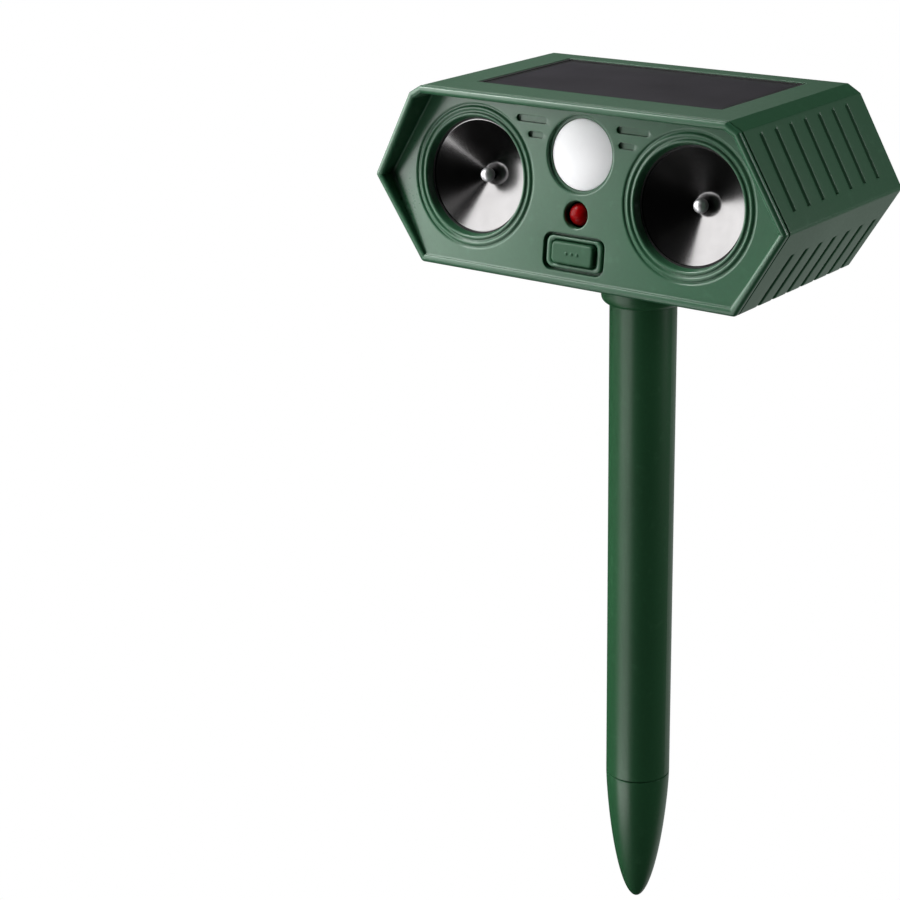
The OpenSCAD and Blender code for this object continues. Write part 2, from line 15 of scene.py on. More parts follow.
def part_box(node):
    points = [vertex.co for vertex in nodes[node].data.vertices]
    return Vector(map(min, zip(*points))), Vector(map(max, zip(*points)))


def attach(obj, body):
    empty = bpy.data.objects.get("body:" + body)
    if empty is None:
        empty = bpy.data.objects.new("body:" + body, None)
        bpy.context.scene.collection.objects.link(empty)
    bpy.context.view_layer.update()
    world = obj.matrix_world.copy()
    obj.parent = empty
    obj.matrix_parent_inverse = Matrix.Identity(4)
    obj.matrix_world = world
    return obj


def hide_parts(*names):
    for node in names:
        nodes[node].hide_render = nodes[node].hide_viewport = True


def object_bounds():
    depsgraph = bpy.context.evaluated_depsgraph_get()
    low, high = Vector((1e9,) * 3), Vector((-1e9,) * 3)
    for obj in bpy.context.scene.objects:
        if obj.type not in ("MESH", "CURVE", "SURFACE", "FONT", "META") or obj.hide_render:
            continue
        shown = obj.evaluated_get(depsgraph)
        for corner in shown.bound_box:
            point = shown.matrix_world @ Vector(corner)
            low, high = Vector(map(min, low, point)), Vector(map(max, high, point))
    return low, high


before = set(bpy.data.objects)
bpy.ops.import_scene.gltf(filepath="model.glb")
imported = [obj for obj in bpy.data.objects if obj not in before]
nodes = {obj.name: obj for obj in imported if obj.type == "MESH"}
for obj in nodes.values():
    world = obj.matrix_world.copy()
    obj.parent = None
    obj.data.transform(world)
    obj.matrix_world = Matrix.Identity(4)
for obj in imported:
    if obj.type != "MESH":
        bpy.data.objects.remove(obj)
cad_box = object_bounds()

MM = 0.001
ARC = 6  # steps in a rounded corner
TURN = 96  # steps round a turned piece


# ---------- sizes ----------


def node_box(name):
    """A node's lowest and highest corners in millimetres."""
    low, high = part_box(name)
    return np.array(low) / MM, np.array(high) / MM


shell_high = node_box("rear_housing")[1]

HALF_W = shell_high[0]
HEAD_UP = 30.5  # flat top above the side ridges
HEAD_DOWN = 27.0  # flat bottom below them
RIDGE_Z = shell_high[2] - HEAD_UP
FLAT = 58.0  # half the width of the flat top and bottom
TOP_CHAMFER = 2.9
BACK = shell_high[1]
BEZEL_Y = -43.5  # front edge of the hood at ridge height
BEZEL_TILT = -math.tan(math.radians(3))
FACE_LEAN = math.radians(6.5)
FACE_TILT = math.tan(FACE_LEAN)
FACE_Y = -38.3  # the face at ridge height
FACE_T = 2.5
FACE_BACK_Y = FACE_Y + FACE_T / math.cos(FACE_LEAN)
LIP = 2.0  # depth of the hood's outer band
SEAM = 0.6  # gap between that band and the housing
RIM_IN = 2.5  # thickness of the hood
FRONT_WALL = 1.2  # housing wall where it goes round the cover's sleeve
WALL = 2.2
SEAT_Y = -32.5  # back end of the cover's sleeve
SCREW_SEAT_Y = -12.0  # where the heads of the cover screws sit

HORN_X = 39.2
HORN_V = 2.5
LENS_V = 13.5
LED_V = -4.7
KEY_V = -16.8
KEY_W, KEY_H = 15.4, 6.8

TUBE_BORE = 9.2  # radius inside the stake's tube


# ---------- meshes from arrays ----------


class Shape:
    """Gathers grids, sheets and caps of points in millimetres, and makes one mesh of them."""

    def __init__(self):
        self.points = []
        self.faces = []
        self.count = 0

    def add(self, points, faces):
        self.points.append(points)
        self.faces += (np.asarray(faces) + self.count).tolist()
        self.count += len(points)

    def grid(self, rows, closed=True, keep=None):
        """Quads between the points of an array of shape (rows, columns, 3)."""
        r, c = rows.shape[:2]
        last = c if closed else c - 1
        a = np.arange(r - 1)[:, None] * c + np.arange(last)[None, :]
        b = np.arange(r - 1)[:, None] * c + (np.arange(last)[None, :] + 1) % c
        quads = np.stack([a, b, b + c, a + c], axis=-1)
        if keep is not None:
            quads = quads[keep[:, :last]]
        self.add(rows.reshape(-1, 3), quads.reshape(-1, 4))

    def sheet(self, outer, holes, axes):
        """Triangles of a flat sheet inside one loop of points and outside others.
        axes are the two coordinates in which the sheet is laid out."""
        loops = [outer, *holes]
        points = np.concatenate(loops)
        flat = points[:, axes]
        starts = np.cumsum([0] + [len(one) for one in loops])
        edges = []
        for start, one in zip(starts, loops):
            edges += [(start + i, start + (i + 1) % len(one)) for i in range(len(one))]
        made = geometry.delaunay_2d_cdt([Vector(p) for p in flat], edges, [], 1, 1e-9)
        triangles = np.array(made[2])
        middle = flat[triangles].mean(axis=1)
        for hole in holes:
            outside = ~inside(middle, hole[:, axes])
            triangles, middle = triangles[outside], middle[outside]
        self.add(points, triangles)

    def cap(self, loop):
        """Closes a loop with a fan of triangles round its middle."""
        n = len(loop)
        ring = np.arange(n)
        fan = np.stack([ring, (ring + 1) % n, np.full(n, n)], axis=1)
        self.add(np.vstack([loop, loop.mean(axis=0)]), fan)

    def piece(self, name, material, body, replaces=(), sharp=40):
        """The finished object, with doubles merged and its faces turned outwards."""
        mesh = bpy.data.meshes.new(name)
        mesh.from_pydata((np.concatenate(self.points) * MM).tolist(), [], self.faces)
        tidy = bmesh.new()
        tidy.from_mesh(mesh)
        bmesh.ops.remove_doubles(tidy, verts=tidy.verts, dist=2e-6)
        bmesh.ops.dissolve_degenerate(tidy, edges=tidy.edges, dist=1e-6)
        bmesh.ops.recalc_face_normals(tidy, faces=tidy.faces)
        tidy.to_mesh(mesh)
        tidy.free()
        mesh.shade_smooth()
        mesh.set_sharp_from_angle(angle=math.radians(sharp))
        obj = bpy.data.objects.new(name, mesh)
        bpy.context.collection.objects.link(obj)
        flats = obj.modifiers.new("flat_faces", "WEIGHTED_NORMAL")
        flats.weight = 80
        flats.keep_sharp = True
        mesh.materials.append(material)
        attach(obj, body)
        if replaces:
            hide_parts(*replaces)
        return obj


def inside(points, loop):
    """True for each 2D point that a closed loop goes round, by counting crossings."""
    x, y = points[:, 0:1], points[:, 1:2]
    x0, y0 = loop[:, 0], loop[:, 1]
    x1, y1 = np.roll(x0, -1), np.roll(y0, -1)
    spans = (y0 > y) != (y1 > y)
    rise = np.where(y1 == y0, 1, y1 - y0)
    crossing = x0 + (y - y0) * (x1 - x0) / rise
    return (spans & (x < crossing)).sum(axis=1) % 2 == 1


def rounded(corners, radii, closed=True, steps=ARC):
    """A 2D line through corners, each turned on an arc of its own radius.
    A corner gives steps + 1 points, spaced evenly in angle between the arc's two tangent points."""
    corners = np.asarray(corners, float)
    radii = np.broadcast_to(radii, len(corners)).astype(float)
    back = np.roll(corners, 1, 0) - corners
    ahead = np.roll(corners, -1, 0) - corners
    if not closed:
        back[0], ahead[-1] = -ahead[0], -back[-1]
        radii = np.concatenate([[0], radii[1:-1], [0]])
    back /= np.linalg.norm(back, axis=1, keepdims=True)
    ahead /= np.linalg.norm(ahead, axis=1, keepdims=True)
    half = np.arccos(np.clip((back * ahead).sum(axis=1), -1, 1)) / 2
    radii = np.maximum(radii, 1e-6)
    straight = half > math.pi / 2 - 1e-4
    reach = np.where(straight, 0, radii / np.tan(np.minimum(half, math.pi / 2 - 1e-4)))[:, None]
    t = np.linspace(0, 1, steps + 1)[None, :, None]
    turn = (math.pi - 2 * half)[:, None, None]
    middle = back + ahead
    size = np.maximum(np.linalg.norm(middle, axis=1, keepdims=True), 1e-9)
    centre = corners + middle / size * (radii / np.sin(half))[:, None]
    first = (corners + back * reach - centre)[:, None, :]
    last = (corners + ahead * reach - centre)[:, None, :]
    swing = np.maximum(np.sin(turn), 1e-9)
    arcs = centre[:, None, :] + (np.sin((1 - t) * turn) * first + np.sin(t * turn) * last) / swing
    arcs = np.where(straight[:, None, None], corners[:, None, :], arcs)
    if closed:
        return arcs.reshape(-1, 2)
    return np.vstack([corners[:1], arcs[1:-1].reshape(-1, 2), corners[-1:]])


def on_face(x, v, depth):
    """A point of the head from the face's own axes: across, up the face, and depth behind it."""
    c, s = math.cos(FACE_LEAN), math.sin(FACE_LEAN)
    x, v, depth = np.broadcast_arrays(x, v, depth)
    return np.stack([x, FACE_Y + depth * c + v * s, RIDGE_Z + v * c - depth * s], axis=-1)


def circle(radius, n=TURN):
    """Points evenly round a circle, as x and v."""
    a = np.linspace(0, 2 * math.pi, n, endpoint=False)
    return np.stack([radius * np.cos(a), radius * np.sin(a)], axis=-1)


def box_loop(width, height, radius, grow=0.0, steps=ARC):
    """A rectangle with rounded corners, grown on every side."""
    w, h = width / 2 + grow, height / 2 + grow
    r = max(radius + grow, 0.02)
    return rounded([[-w, -h], [w, -h], [w, h], [-w, h]], r, steps=steps)


def face_rings(loop_of, stations, x=0.0, v=0.0):
    """Rings on the face: loop_of(grow) at each station (grow, depth), moved to x and v."""
    return np.stack([on_face(loop_of(g)[:, 0] + x, loop_of(g)[:, 1] + v, d) for g, d in stations])


def turned_on_face(profile, x, v, n=TURN):
    """Rings of a turned piece whose axis runs into the face; the profile holds (radius, depth)."""
    return face_rings(lambda r: circle(r, n), profile, x, v)


def turned_upright(profile, n=TURN):
    """Rings of a piece turned about the stake's axis; the profile holds (radius, height)."""
    ring = circle(1.0, n)
    return np.stack([np.column_stack([ring * max(r, 0), np.full(n, h)]) for r, h in profile])


# ---------- outline of the head ----------

LOW_LEN = math.hypot(HALF_W - FLAT, HEAD_DOWN)
UP_LEN = math.hypot(HALF_W - FLAT, HEAD_UP)
UP_NORMAL = np.array([HEAD_UP, HALF_W - FLAT]) / UP_LEN
LOW_NORMAL = np.array([HEAD_DOWN, FLAT - HALF_W]) / LOW_LEN


def side_x(normal, inset, z):
    """How far out a slanted side is at height z, once pushed in by inset."""
    return (normal[0] * HALF_W - inset - normal[1] * z) / normal[0]


def half_corners(inset):
    """Corners of the head's right half, pushed in: low corner, ridge and the top corner's two."""
    low, high = inset - HEAD_DOWN, HEAD_UP - inset
    ridge = inset * (1 / LOW_NORMAL[0] - 1 / UP_NORMAL[0]) / (
        LOW_NORMAL[1] / LOW_NORMAL[0] - UP_NORMAL[1] / UP_NORMAL[0]
    )
    cut = max(TOP_CHAMFER - 0.32 * inset, 0.6)
    top = side_x(UP_NORMAL, inset, high)
    return [
        [side_x(LOW_NORMAL, inset, low), low],
        [side_x(UP_NORMAL, inset, ridge), ridge],
        [top + cut * (HALF_W - FLAT) / UP_LEN, high - cut * HEAD_UP / UP_LEN],
        [top - cut, high],
    ]


# radii of the low corner, the ridge and the two edges of the top flat
CORNER_R = np.array([1.5, 1.4, 0.9, 0.9])

# where straight runs carry extra points, as fractions of the run after each corner
UP_MARKS = np.array([0.13, 0.155, 0.165, 0.185, 0.915, 0.935, 0.945, 0.97])
LOW_MARKS = np.array([0.3, 0.34, 0.36, 0.38, 0.4, 0.9])
FLAT_MARKS = np.array([0.01, 0.025, 0.975, 0.99])
RUN_MARKS = [UP_MARKS, [], FLAT_MARKS, [], 1 - UP_MARKS[::-1], LOW_MARKS, FLAT_MARKS, 1 - LOW_MARKS[::-1]]


def outline(inset):
    """The head's closed outline in x and z, from the right ridge anticlockwise over the top.
    Every inset gives the same number of points, so that outlines join into a grid."""
    low, ridge, top_a, top_b = half_corners(inset)
    right = [ridge, top_a, top_b]
    left = [[-x, z] for x, z in reversed(right)]
    corners = np.array([*right, *left, [-low[0], low[1]], low])
    r_low, r_ridge, r_a, r_b = np.maximum(CORNER_R - inset, 0.15)
    radii = [r_ridge, r_a, r_b, r_b, r_a, r_ridge, r_low, r_low]
    arcs = rounded(corners, radii).reshape(8, ARC + 1, 2)
    line = []
    for k, marks in enumerate(RUN_MARKS):
        start, end = arcs[k, -1], arcs[(k + 1) % 8, 0]
        run = start + np.asarray(marks, float).reshape(-1, 1) * (end - start)
        line += [arcs[k], run.reshape(-1, 2)]
    return np.concatenate(line)


def run_columns(k):
    """First and last column of the extra points after corner k."""
    before = sum(ARC + 1 + len(marks) for marks in RUN_MARKS[:k]) + ARC + 1
    return before, before + len(RUN_MARKS[k]) - 1


def outline_ring(inset, y, tilt=0.0):
    """A ring of the outline, in the plane that leans by tilt and meets ridge height at y."""
    line = outline(inset)
    return np.column_stack([line[:, 0], y + tilt * line[:, 1], RIDGE_Z + line[:, 1]])


def block_loop(rows, r0, r1, c0, c1):
    """The points of a grid round a block of it, in order."""
    return np.concatenate([rows[r0, c0:c1], rows[r0:r1, c1], rows[r1, c1:c0:-1], rows[r1:r0:-1, c0]])


# ---------- procedural materials ----------


def new_material(name):
    """A material with its Principled shader and a way to add nodes."""
    material = bpy.data.materials.new(name)
    material.use_nodes = True
    tree = material.node_tree
    return material, tree, tree.nodes["Principled BSDF"]


def node(tree, kind, inputs=None, **settings):
    """A node of a kind with its settings, and its input values or links by socket name."""
    made = tree.nodes.new(kind)
    for key, value in settings.items():
        setattr(made, key, value)
    for key, value in (inputs or {}).items():
        if isinstance(value, bpy.types.NodeSocket):
            tree.links.new(value, made.inputs[key])
        else:
            made.inputs[key].default_value = value
    return made


def math_node(tree, operation, *values):
    """The result of a Math node on up to three numbers or links."""
    return node(tree, "ShaderNodeMath", dict(enumerate(values)), operation=operation).outputs[0]


def vector_node(tree, operation, *values):
    """The result of a Vector Math node on one or two vectors or links."""
    return node(tree, "ShaderNodeVectorMath", dict(enumerate(values)), operation=operation).outputs[0]


def noise(tree, place, scale, detail=3.0):
    """A noise value over the surface; a scale is in cycles a metre."""
    inputs = {"Vector": place, "Scale": scale, "Detail": detail}
    return node(tree, "ShaderNodeTexNoise", inputs).outputs["Fac"]


def blend(tree, factor, first, second):
    """A colour between two, by a factor."""
    mix = node(tree, "ShaderNodeMix", {"Factor": factor, "A": first, "B": second}, data_type="RGBA")
    return mix.outputs["Result"]


def bumped(tree, strength, depth, height):
    """The surface's normal with a height laid over it."""
    inputs = {"Strength": strength, "Distance": depth, "Height": height}
    return node(tree, "ShaderNodeBump", inputs).outputs["Normal"]


def ramp(tree, factor, stops):
    """A colour ramp through (position, colour) stops."""
    made = node(tree, "ShaderNodeValToRGB", {"Fac": factor})
    elements = made.color_ramp.elements
    while len(elements) < len(stops):
        elements.new(0.5)
    for element, (position, colour) in zip(elements, stops):
        element.position = position
        element.color = (*colour, 1.0)
    return made.outputs["Color"]


def value_map(tree, value, low, high, out_low, out_high):
    """A number carried from one range to another."""
    inputs = {"Value": value, "From Min": low, "From Max": high, "To Min": out_low, "To Max": out_high}
    return node(tree, "ShaderNodeMapRange", inputs).outputs["Result"]


def grain_group():
    """Moulded plastic's surface: a fine spark-eroded grain, a slow waviness of the moulding and faint
    dust. Puts out a height, a gloss mask and a dust mask."""
    tree = bpy.data.node_groups.new("moulded_grain", "ShaderNodeTree")
    for name, default in (("Grain Scale", 900.0), ("Grain Depth", 0.5), ("Wave Scale", 14.0)):
        socket = tree.interface.new_socket(name, in_out="INPUT", socket_type="NodeSocketFloat")
        socket.default_value = default
    for name in ("Height", "Gloss", "Dust"):
        tree.interface.new_socket(name, in_out="OUTPUT", socket_type="NodeSocketFloat")
    inputs = node(tree, "NodeGroupInput").outputs
    outputs = node(tree, "NodeGroupOutput").inputs
    place = node(tree, "ShaderNodeTexCoord").outputs["Object"]
    fine = noise(tree, place, inputs["Grain Scale"])
    wave = noise(tree, place, inputs["Wave Scale"], 2.0)
    specks = noise(tree, place, 260.0, 4.0)
    tree.links.new(math_node(tree, "MULTIPLY", fine, inputs["Grain Depth"]), outputs["Height"])
    mixed = math_node(tree, "MULTIPLY_ADD", fine, 0.35, wave)
    tree.links.new(value_map(tree, mixed, 0.45, 0.9, 0.0, 1.0), outputs["Gloss"])
    tree.links.new(value_map(tree, specks, 0.60, 0.74, 0.0, 1.0), outputs["Dust"])
    return tree


GRAIN = grain_group()


def moulded(name, colour, rough=0.42, grain=900.0, bump=0.06, coat=0.0, tone=0.12, specular=0.5):
    """Injection-moulded plastic: its colour drifts slightly, and its gloss follows the grain."""
    material, tree, shader = new_material(name)
    surface = tree.nodes.new("ShaderNodeGroup")
    surface.node_tree = GRAIN
    surface.inputs["Grain Scale"].default_value = grain
    darker = tuple(c * (1 - tone) for c in colour)
    lighter = tuple(min(c * (1 + tone), 1) for c in colour)
    shade = ramp(tree, surface.outputs["Gloss"], [(0.0, darker), (1.0, lighter)])
    dusty = tuple(min(c * 1.3 + 0.012, 1) for c in colour)
    faint = value_map(tree, surface.outputs["Dust"], 0.0, 1.0, 0.0, 0.35)
    tree.links.new(blend(tree, faint, shade, (*dusty, 1)), shader.inputs["Base Color"])
    gloss = value_map(tree, surface.outputs["Gloss"], 0.0, 1.0, rough + 0.05, rough - 0.04)
    tree.links.new(gloss, shader.inputs["Roughness"])
    tree.links.new(bumped(tree, bump, 0.0002, surface.outputs["Height"]), shader.inputs["Normal"])
    shader.inputs["Specular IOR Level"].default_value = specular
    shader.inputs["Coat Weight"].default_value = coat
    shader.inputs["Coat Roughness"].default_value = 0.25
    return material


def metal(name, colour, rough=0.2, streak=0.0, spread=0.06):
    """Metal whose gloss varies with fine polishing marks."""
    material, tree, shader = new_material(name)
    place = node(tree, "ShaderNodeTexCoord").outputs["Object"]
    marks = noise(tree, place, 420.0, 4.0)
    tone = ramp(tree, marks, [(0.3, tuple(c * 0.92 for c in colour)), (0.7, colour)])
    tree.links.new(tone, shader.inputs["Base Color"])
    gloss = value_map(tree, marks, 0.3, 0.7, max(rough - spread, 0.02), rough + spread)
    tree.links.new(gloss, shader.inputs["Roughness"])
    shader.inputs["Metallic"].default_value = 1.0
    if streak:
        tree.links.new(bumped(tree, streak, 0.0001, marks), shader.inputs["Normal"])
    return material


HEAD_GREEN = (0.028, 0.098, 0.048)
COVER_GREEN = (0.030, 0.106, 0.053)
STAKE_GREEN = (0.020, 0.083, 0.034)

cover_plastic = moulded("cover_plastic", COVER_GREEN, rough=0.31, specular=0.5)
shell_plastic = moulded("shell_plastic", HEAD_GREEN, rough=0.40, specular=0.4)
stake_plastic = moulded("stake_plastic", STAKE_GREEN, rough=0.33, specular=0.35)
button_plastic = moulded("button_plastic", HEAD_GREEN, rough=0.42, specular=0.25)
black_plastic = moulded("black_plastic", (0.012, 0.012, 0.013), rough=0.4)
grey_plastic = moulded("grey_plastic", (0.09, 0.09, 0.09), rough=0.5)
rubber = moulded("rubber", (0.014, 0.014, 0.014), rough=0.68, specular=0.35, bump=0.12)
satin_chrome = metal("satin_chrome", (0.80, 0.80, 0.81), rough=0.44, spread=0.04)
zinc = metal("zinc", (0.55, 0.55, 0.54), rough=0.34, streak=0.2)
red_wire = moulded("red_wire", (0.35, 0.012, 0.010), rough=0.4)
black_wire = moulded("black_wire", (0.012, 0.012, 0.012), rough=0.4)
cell_sleeve = moulded("cell_sleeve", (0.02, 0.06, 0.30), rough=0.25)
board_mask = moulded("board_mask", (0.010, 0.070, 0.028), rough=0.3, tone=0.25)


def spun_reflector(name, x):
    """Vacuum-coated cone, spun about the horn's axis: its fine turning lines run round the axis, so
    light spreads along the cone's sides and leaves bright wedges. The lines' direction is the cross
    product of the axis and the distance from it."""
    material, tree, shader = new_material(name)
    place = node(tree, "ShaderNodeTexCoord").outputs["Object"]
    centre = tuple(on_face(x, HORN_V, 0) * MM)
    arm = vector_node(tree, "SUBTRACT", place, centre)
    axis = (0, math.cos(FACE_LEAN), -math.sin(FACE_LEAN))
    around = vector_node(tree, "CROSS_PRODUCT", axis, arm)
    tree.links.new(vector_node(tree, "NORMALIZE", around), shader.inputs["Tangent"])
    haze = noise(tree, place, 120.0)
    # Painted shade: the coating's colour is set far darker than real chrome's, so that the cones look dark
    # in reflection
    tone = ramp(tree, haze, [(0.3, (0.125, 0.122, 0.122)), (0.7, (0.145, 0.142, 0.142))])
    tree.links.new(tone, shader.inputs["Base Color"])
    tree.links.new(value_map(tree, haze, 0.3, 0.7, 0.13, 0.16), shader.inputs["Roughness"])
    shader.inputs["Metallic"].default_value = 1.0
    shader.inputs["Anisotropic"].default_value = 0.6
    return material


def milky_lens():
    """Milky moulded polyethylene. Light that gets into the dome spreads inside it and evens its shading:
    each normal is turned towards the face's outward axis, the axis counting 2.2 times the normal."""
    material, tree, shader = new_material("milky_lens")
    surface = tree.nodes.new("ShaderNodeGroup")
    surface.node_tree = GRAIN
    surface.inputs["Grain Scale"].default_value = 500.0
    shade = ramp(tree, surface.outputs["Gloss"], [(0.0, (0.86, 0.865, 0.88)), (1.0, (0.90, 0.905, 0.92))])
    tree.links.new(shade, shader.inputs["Base Color"])
    gloss = value_map(tree, surface.outputs["Gloss"], 0.0, 1.0, 0.42, 0.34)
    tree.links.new(gloss, shader.inputs["Roughness"])
    shader.inputs["Subsurface Weight"].default_value = 0.35
    shader.inputs["Subsurface Radius"].default_value = (0.003, 0.003, 0.003)
    shader.inputs["Subsurface Scale"].default_value = 0.5
    evening = 2.2
    axis = (0, -evening * math.cos(FACE_LEAN), evening * math.sin(FACE_LEAN))
    spaces = {"vector_type": "VECTOR", "convert_from": "OBJECT", "convert_to": "WORLD"}
    outward = node(tree, "ShaderNodeVectorTransform", {"Vector": axis}, **spaces).outputs[0]
    surface_normal = node(tree, "ShaderNodeNewGeometry").outputs["Normal"]
    even = vector_node(tree, "NORMALIZE", vector_node(tree, "ADD", outward, surface_normal))
    tree.links.new(even, shader.inputs["Normal"])
    return material


def red_lamp():
    """Deep red tinted epoxy, with painted shade: its red darkens towards the rim, where the dome turns away
    from the view.
    """
    material, tree, shader = new_material("red_lamp")
    # Painted shade: the colour darkens with the facing angle, from the dome's middle to its rim
    tilt = node(tree, "ShaderNodeLayerWeight", {"Blend": 0.35}).outputs["Facing"]
    shade = ramp(tree, tilt, [(0.0, (0.28, 0.001, 0.002)), (0.8, (0.05, 0.0, 0.001))])
    tree.links.new(shade, shader.inputs["Base Color"])
    place = node(tree, "ShaderNodeTexCoord").outputs["Object"]
    haze = noise(tree, place, 300.0, 2.0)
    tree.links.new(value_map(tree, haze, 0.3, 0.7, 0.26, 0.34), shader.inputs["Roughness"])
    shader.inputs["Specular IOR Level"].default_value = 0.06
    shader.inputs["Coat Weight"].default_value = 0.02
    shader.inputs["Coat Roughness"].default_value = 0.12
    return material


def solar_cells():
    """Dark violet silicon under clear resin: strips with faint streaks along them, inside a black border.
    The border is where the distance to the panel's nearest edge is small."""
    material, tree, shader = new_material("solar_cells")
    place = node(tree, "ShaderNodeTexCoord").outputs["Object"]
    split = node(tree, "ShaderNodeSeparateXYZ", {"Vector": place})
    stretched = node(tree, "ShaderNodeMapping", {"Vector": place, "Scale": (300.0, 14.0, 14.0)}).outputs[0]
    cloud = noise(tree, place, 30.0)
    both = math_node(tree, "MULTIPLY", noise(tree, stretched, 1.0), cloud)
    silicon = ramp(tree, both, [(0.05, (0.013, 0.011, 0.016)), (0.45, (0.026, 0.022, 0.031))])
    strip = 0.0108  # half the pitch of the cells, in metres
    gap = value_map(tree, math_node(tree, "PINGPONG", split.outputs["X"], strip), 0.0, 0.0003, 0.6, 0.0)
    strips = blend(tree, gap, silicon, (0.006, 0.006, 0.008, 1))
    low, high = (corner * MM for corner in node_box("solar_panel"))
    margins = []
    for k, name in enumerate("XY"):
        off = math_node(tree, "SUBTRACT", split.outputs[name], (low[k] + high[k]) / 2)
        margins.append(math_node(tree, "SUBTRACT", (high[k] - low[k]) / 2, math_node(tree, "ABSOLUTE", off)))
    border = value_map(tree, math_node(tree, "MINIMUM", *margins), 0.0013, 0.0017, 1.0, 0.0)
    shade = blend(tree, border, strips, (0.003, 0.004, 0.004, 1))
    tree.links.new(shade, shader.inputs["Base Color"])
    tree.links.new(value_map(tree, cloud, 0.1, 0.9, 0.28, 0.34), shader.inputs["Roughness"])
    shader.inputs["Specular IOR Level"].default_value = 0.4
    shader.inputs["Coat Weight"].default_value = 0.05
    shader.inputs["Coat Roughness"].default_value = 0.2
    return material


left_reflector = spun_reflector("left_reflector", -HORN_X)
right_reflector = spun_reflector("right_reflector", HORN_X)
lens_plastic = milky_lens()
lamp_epoxy = red_lamp()
cells = solar_cells()


# ---------- rear housing ----------

GROOVES = 7
PITCH = 8.6
UP_FIRST = BEZEL_Y + 9.5  # middle of the first groove
LOW_FIRST = BEZEL_Y + 15.2
UP_HALF_W, UP_DEPTH = 1.1, 0.85
LOW_HALF_W, LOW_DEPTH = 1.25, 1.15


def grooves(y, first, half, depth):
    """Depth of a row of grooves along y: each is one hump of a raised cosine."""
    centres = first + PITCH * np.arange(GROOVES)
    away = np.clip(np.abs(y[:, None] - centres[None, :]) / half, 0, 1)
    return depth * (0.5 + 0.5 * np.cos(math.pi * away)).sum(axis=1)


def side_masks(columns):
    """How far each column of the outline takes part in the upper and the lower grooves. The upper ones
    end within the runs after corners 0 and 4; the lower ones run out over the bottom edges."""
    up, low = np.zeros(columns), np.zeros(columns)
    for k in (0, 4):
        a, b = run_columns(k)
        up[a : b + 1] = [0, 0, 1, 1, 1, 1, 0, 0]
    a, b = run_columns(5)
    low[a : b + 1] = [0, 0, 1, 1, 1, 1]
    low[b + 1 : b + 1 + ARC + 2] = [1] * (ARC + 1) + [0]
    a, b = run_columns(7)
    low[a : b + 1] = [1, 1, 1, 1, 0, 0]
    low[a - ARC - 2 : a] = [0] + [1] * (ARC + 1)
    return up, low


def housing_skin():
    """The housing's outer and inner skin as one grid of rings, from its inner back to its outer back."""
    bezel = BEZEL_Y + LIP + SEAM
    edge, back_edge = 0.35, 1.2
    inner = [
        (WALL, BACK - WALL, 0.0),
        (WALL, SEAT_Y + 0.9, 0.0),
        (FRONT_WALL, SEAT_Y + 0.9, 0.0),
        (FRONT_WALL, bezel, BEZEL_TILT),
    ]
    nose = rounded([[FRONT_WALL, 0], [0, 0], [0, 3]], edge, closed=False)[1:-1]
    nose = [(t, y + bezel, BEZEL_TILT) for t, y in nose]
    marks = np.concatenate([
        (UP_FIRST + PITCH * np.arange(GROOVES))[:, None] + UP_HALF_W * np.linspace(-1, 1, 9),
        (LOW_FIRST + PITCH * np.arange(GROOVES))[:, None] + LOW_HALF_W * np.linspace(-1, 1, 9),
    ], axis=0).ravel()
    first, last = -37.0, BACK - back_edge - 0.2
    body_y = np.unique(np.round(np.concatenate([[first], marks, [last]]), 3))
    body = [(0.0, y, 0.0) for y in body_y]
    tail = [(t, y, 0.0) for t, y in rounded([[0, 0], [0, BACK], [8, BACK]], back_edge, closed=False)[1:-1]]
    stations = inner + nose + body + tail
    rows = np.stack([outline_ring(t, y, tilt) for t, y, tilt in stations])
    start = len(inner) + len(nose)
    block = rows[start : start + len(body_y)]
    ring = outline(0.0)
    run = np.roll(ring, -1, 0) - np.roll(ring, 1, 0)
    normal = np.column_stack([run[:, 1], -run[:, 0]]) / np.linalg.norm(run, axis=1, keepdims=True)
    up, low = side_masks(len(ring))
    depth = grooves(body_y, UP_FIRST, UP_HALF_W, UP_DEPTH)[:, None] * up
    depth = depth + grooves(body_y, LOW_FIRST, LOW_HALF_W, LOW_DEPTH)[:, None] * low
    block[..., 0] -= depth * normal[:, 0]
    block[..., 2] -= depth * normal[:, 1]
    return rows, start, start + len(body_y) - 1


def flat_rings(loop_of, stations, plane):
    """Rings of loop_of(grow) at each station (grow, depth), put in place by plane(points, depth)."""
    return np.stack([plane(loop_of(g), d) for g, d in stations])


